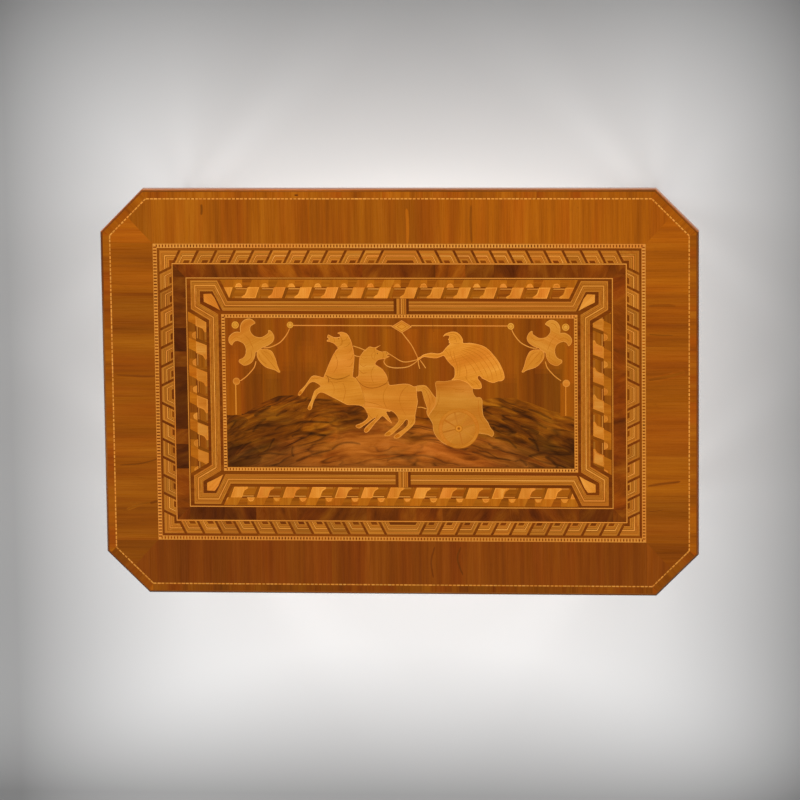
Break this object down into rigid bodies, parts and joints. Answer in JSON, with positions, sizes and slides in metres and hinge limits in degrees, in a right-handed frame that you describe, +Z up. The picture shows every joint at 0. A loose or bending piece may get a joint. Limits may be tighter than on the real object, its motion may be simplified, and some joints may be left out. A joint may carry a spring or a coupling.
{
  "type": "coffee table",
  "caption": "Coffee table with a canted walnut top, crossbanded and inlaid with banding, meander, ribbon and a picture panel, on a mortised frame with square tapering legs.",
  "frame": {"origin": "on the floor, under the middle of the top", "axes": "+X along the length of the top to its right end, +Y to its back, +Z up"},
  "size_m": [1, 0.688, 0.48],
  "materials": {
    "walnut": "semi-gloss polished walnut crossbanding",
    "burl": "semi-gloss polished dark burl walnut",
    "light_veneer": "semi-gloss polished light maple and boxwood",
    "dark_veneer": "semi-gloss polished dark stained veneer",
    "sky_veneer": "semi-gloss polished brown walnut",
    "frame_wood": "semi-gloss polished solid walnut",
    "core_wood": "unpolished softwood core",
    "steel": "zinc plated screw steel"
  },
  "bodies": {
    "root": {"top_core": "core_wood", "lipping_front": "walnut", "lipping_front_right": "walnut", "lipping_right": "walnut", "lipping_back_right": "walnut", "lipping_back": "walnut", "lipping_back_left": "walnut", "lipping_left": "walnut", "lipping_front_left": "walnut", "edge_crossband_front": "walnut", "edge_crossband_front_right": "walnut", "edge_crossband_right": "walnut", "edge_crossband_back_right": "walnut", "edge_crossband_back": "walnut", "edge_crossband_back_left": "walnut", "edge_crossband_left": "walnut", "edge_crossband_front_left": "walnut", "dotted_stringing": "light_veneer", "wide_crossband_front": "walnut", "wide_crossband_right": "walnut", "wide_crossband_back": "walnut", "wide_crossband_left": "walnut", "outer_check_banding": "light_veneer", "dark_line": "dark_veneer", "meander_border_front": "light_veneer", "meander_border_right": "light_veneer", "meander_border_back": "light_veneer", "meander_border_left": "light_veneer", "outer_hairline": "light_veneer", "burl_band_front": "burl", "burl_band_right": "burl", "burl_band_back": "burl", "burl_band_left": "burl", "inner_hairline": "light_veneer", "ribbon_border_front": "walnut", "ribbon_border_right": "walnut", "ribbon_border_back": "walnut", "ribbon_border_left": "walnut", "strap_band": "dark_veneer", "inner_check_banding": "light_veneer", "sky_panel": "sky_veneer", "ground_panel": "burl", "leg_front_right": "frame_wood", "leg_back_right": "frame_wood", "leg_back_left": "frame_wood", "leg_front_left": "frame_wood", "rail_front": "frame_wood", "rail_right": "frame_wood", "rail_back": "frame_wood", "rail_left": "frame_wood", "corner_block_front_right": "core_wood", "corner_block_back_right": "core_wood", "corner_block_back_left": "core_wood", "corner_block_front_left": "core_wood", "screw_front_right": "steel", "screw_back_right": "steel", "screw_back_left": "steel", "screw_front_left": "steel"}
  },
  "joints": []
}
